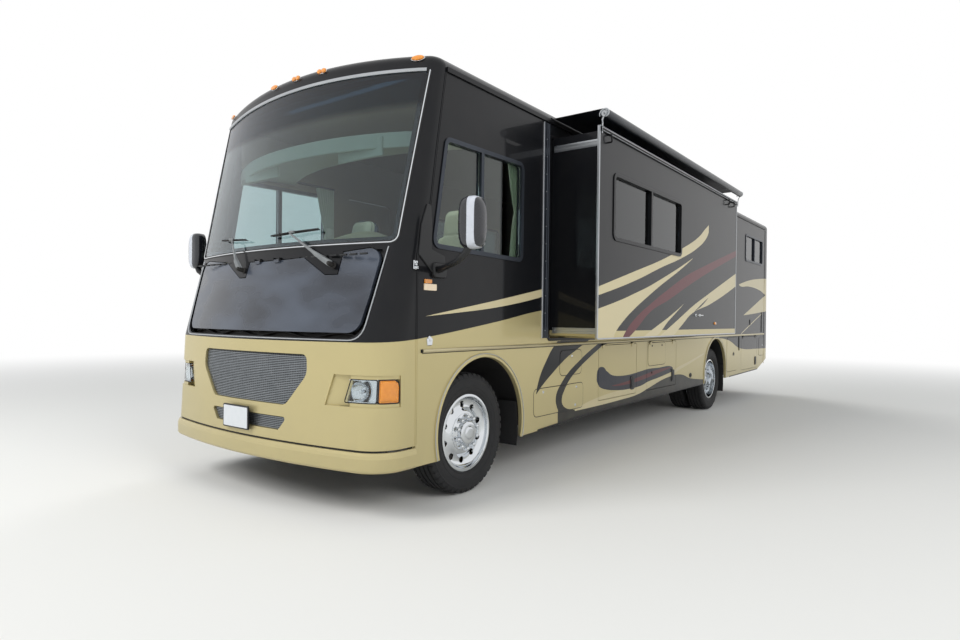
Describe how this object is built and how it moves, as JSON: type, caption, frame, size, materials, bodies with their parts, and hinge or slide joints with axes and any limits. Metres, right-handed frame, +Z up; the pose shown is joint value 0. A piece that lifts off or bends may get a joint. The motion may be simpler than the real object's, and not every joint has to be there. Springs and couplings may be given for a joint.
{
  "type": "motorhome",
  "caption": "Full-size motorhome with a side slide-out room, front hood, side luggage doors, entry door, steered front wheels and twin rear wheels.",
  "frame": {"origin": "on the ground under the middle of the coach", "axes": "+X towards the driver's side, +Y towards the rear, +Z up"},
  "size_m": [3.637, 10.8673, 3.5813],
  "materials": {
    "body_black": "gloss",
    "body_gold": "gloss metallic",
    "hood_paint": "dusty gloss",
    "glass": "tinted",
    "black_metal": "satin",
    "white_roof": "gloss",
    "lamp_clear": "clear",
    "lamp_amber": "gloss",
    "lamp_red": "gloss",
    "grille_metal": "satin",
    "chrome": "polished",
    "tyre": "matte",
    "steel": "matte",
    "floor": "satin",
    "black_plastic": "matte",
    "cream_plastic": "matte",
    "leather": "satin",
    "fabric_green": "matte",
    "fabric_black": "matte",
    "aluminium": "brushed"
  },
  "bodies": {
    "coach": {"front_cap": "body_black", "windshield": "glass", "grilles": "grille_metal", "headlamps": "lamp_clear", "amber_lamps": "lamp_amber", "front_bumper": "body_gold", "wall_left": "body_black", "wall_right": "body_black", "roof": "white_roof", "rear_cap": "body_black", "coach_floor": "floor", "skirt_left": "body_gold", "skirt_right": "body_gold", "storage_bays": "black_plastic", "side_trim": "black_metal", "window_frames": "black_metal", "window_glass": "glass", "topper_fabric": "fabric_black", "chassis_frame": "steel", "engine": "steel", "tanks": "black_plastic", "exhaust": "steel", "front_axle": "steel", "rear_axle": "steel", "dashboard": "cream_plastic", "steering_wheel": "black_plastic", "seats": "leather", "curtains": "fabric_green", "patio_awning": "black_metal", "mirrors": "black_plastic", "wipers": "black_metal", "roof_units": "white_roof", "ladder": "aluminium", "tail_lamps": "lamp_red"},
    "slide_room": {"slide_shell": "body_black", "slide_fascia": "body_black", "slide_window_frame": "black_metal", "slide_window_glass": "glass", "topper_roller": "black_metal"},
    "hood": {"hood": "hood_paint"},
    "entry_door": {"entry_door": "body_black", "entry_door_glass": "glass"},
    "knuckle_left": {"knuckle_left": "steel"},
    "knuckle_right": {"knuckle_right": "steel"},
    "wheel_front_left": {"tyre_front_left": "tyre", "rim_front_left": "chrome"},
    "wheel_front_right": {"tyre_front_right": "tyre", "rim_front_right": "chrome"},
    "wheels_rear_left": {"tyres_rear_left": "tyre", "rims_rear_left": "chrome"},
    "wheels_rear_right": {"tyres_rear_right": "tyre", "rims_rear_right": "chrome"},
    "bay_door_left_1": {"bay_door_left_1": "body_gold"},
    "bay_door_left_2": {"bay_door_left_2": "body_gold"},
    "bay_door_left_3": {"bay_door_left_3": "body_gold"},
    "bay_door_right_1": {"bay_door_right_1": "body_gold"},
    "bay_door_right_2": {"bay_door_right_2": "body_gold"},
    "bay_door_right_3": {"bay_door_right_3": "body_gold"}
  },
  "joints": [
    {"name": "slide_room_travel", "type": "slide", "parent": "coach", "child": "slide_room", "axis": [1, 0, 0], "range_m": [-0.45, 0], "deforming": ["topper_fabric"]},
    {"name": "hood_hinge", "type": "hinge", "parent": "coach", "child": "hood", "pos_m": [0, -5.202, 1.782], "axis": [-1, 0, 0], "range_deg": [0, 75]},
    {"name": "entry_door_hinge", "type": "hinge", "parent": "coach", "child": "entry_door", "pos_m": [-1.299, -3.294, 1.62], "axis": [0, 0, 1], "range_deg": [0, 100]},
    {"name": "bay_door_left_1_hinge", "type": "hinge", "parent": "coach", "child": "bay_door_left_1", "pos_m": [1.299, -1.605, 1.107], "axis": [0, -1, 0], "range_deg": [0, 90]},
    {"name": "bay_door_left_2_hinge", "type": "hinge", "parent": "coach", "child": "bay_door_left_2", "pos_m": [1.299, -0.3, 1.107], "axis": [0, -1, 0], "range_deg": [0, 90]},
    {"name": "bay_door_left_3_hinge", "type": "hinge", "parent": "coach", "child": "bay_door_left_3", "pos_m": [1.299, 3.955, 1.107], "axis": [0, -1, 0], "range_deg": [0, 90]},
    {"name": "bay_door_right_1_hinge", "type": "hinge", "parent": "coach", "child": "bay_door_right_1", "pos_m": [-1.299, -1.605, 1.107], "axis": [0, 1, 0], "range_deg": [0, 90]},
    {"name": "bay_door_right_2_hinge", "type": "hinge", "parent": "coach", "child": "bay_door_right_2", "pos_m": [-1.299, -0.3, 1.107], "axis": [0, 1, 0], "range_deg": [0, 90]},
    {"name": "bay_door_right_3_hinge", "type": "hinge", "parent": "coach", "child": "bay_door_right_3", "pos_m": [-1.299, 3.955, 1.107], "axis": [0, 1, 0], "range_deg": [0, 90]},
    {"name": "steer_left", "type": "hinge", "parent": "coach", "child": "knuckle_left", "pos_m": [0.985, -4.19, 0.47], "axis": [0, 0, 1], "range_deg": [-40, 40]},
    {"name": "steer_right", "type": "hinge", "parent": "coach", "child": "knuckle_right", "pos_m": [-0.985, -4.19, 0.47], "axis": [0, 0, 1], "range_deg": [-40, 40]},
    {"name": "wheel_front_left_spin", "type": "hinge", "parent": "knuckle_left", "child": "wheel_front_left", "pos_m": [1.092, -4.19, 0.47], "axis": [1, 0, 0], "continuous": true},
    {"name": "wheel_front_right_spin", "type": "hinge", "parent": "knuckle_right", "child": "wheel_front_right", "pos_m": [-1.092, -4.19, 0.47], "axis": [1, 0, 0], "continuous": true},
    {"name": "wheels_rear_left_spin", "type": "hinge", "parent": "coach", "child": "wheels_rear_left", "pos_m": [0.95, 1.96, 0.47], "axis": [1, 0, 0], "continuous": true},
    {"name": "wheels_rear_right_spin", "type": "hinge", "parent": "coach", "child": "wheels_rear_right", "pos_m": [-0.95, 1.96, 0.47], "axis": [1, 0, 0], "continuous": true}
  ],
  "couplings": [
    {"joint": "steer_right", "follows": "steer_left", "ratio": 1}
  ]
}
